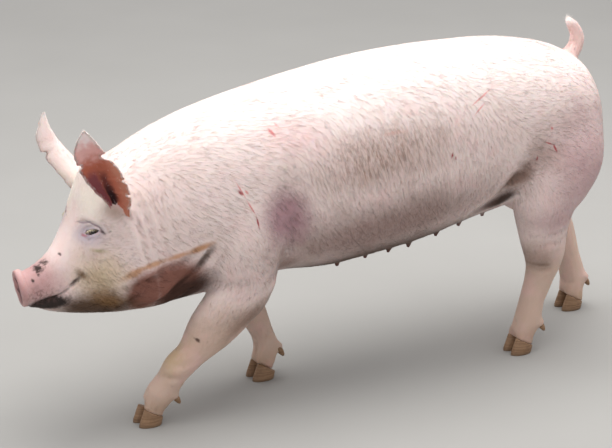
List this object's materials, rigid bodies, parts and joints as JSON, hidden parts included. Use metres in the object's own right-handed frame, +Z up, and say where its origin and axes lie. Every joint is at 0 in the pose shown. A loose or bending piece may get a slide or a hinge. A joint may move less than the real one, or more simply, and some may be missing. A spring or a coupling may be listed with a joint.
{
  "type": "pig",
  "caption": "Life-size still museum model of a young white sow walking, with a straight snout disc, pricked torn ears, small teats under the belly and a short curled tail.",
  "frame": {"origin": "on the floor under the middle of the box around the whole animal", "axes": "-X towards the snout, -Y towards the animal's left side, +Z up"},
  "size_m": [1.4842, 0.354, 0.7475],
  "materials": {
    "skin": "soft pinkish white hide under sparse short white bristles",
    "ear": "thin pink hide, darker inside the cup",
    "snout": "bare moist pink hide",
    "eye": "wet dark brown",
    "hoof": "worn pale horn"
  },
  "bodies": {
    "root": {"head": "skin", "snout": "snout", "neck": "skin", "torso": "skin", "tail": "skin", "ear_left": "ear", "ear_right": "ear", "eye_left": "eye", "eye_right": "eye", "front_left_leg": "skin", "front_left_foot": "skin", "front_left_hoof_outer": "hoof", "front_left_hoof_inner": "hoof", "front_left_dewclaw_outer": "hoof", "front_left_dewclaw_inner": "hoof", "front_right_leg": "skin", "front_right_foot": "skin", "front_right_hoof_outer": "hoof", "front_right_hoof_inner": "hoof", "front_right_dewclaw_outer": "hoof", "front_right_dewclaw_inner": "hoof", "hind_left_leg": "skin", "hind_left_foot": "skin", "hind_left_hoof_outer": "hoof", "hind_left_hoof_inner": "hoof", "hind_left_dewclaw_outer": "hoof", "hind_left_dewclaw_inner": "hoof", "hind_right_leg": "skin", "hind_right_foot": "skin", "hind_right_hoof_outer": "hoof", "hind_right_hoof_inner": "hoof", "hind_right_dewclaw_outer": "hoof", "hind_right_dewclaw_inner": "hoof"}
  },
  "joints": []
}
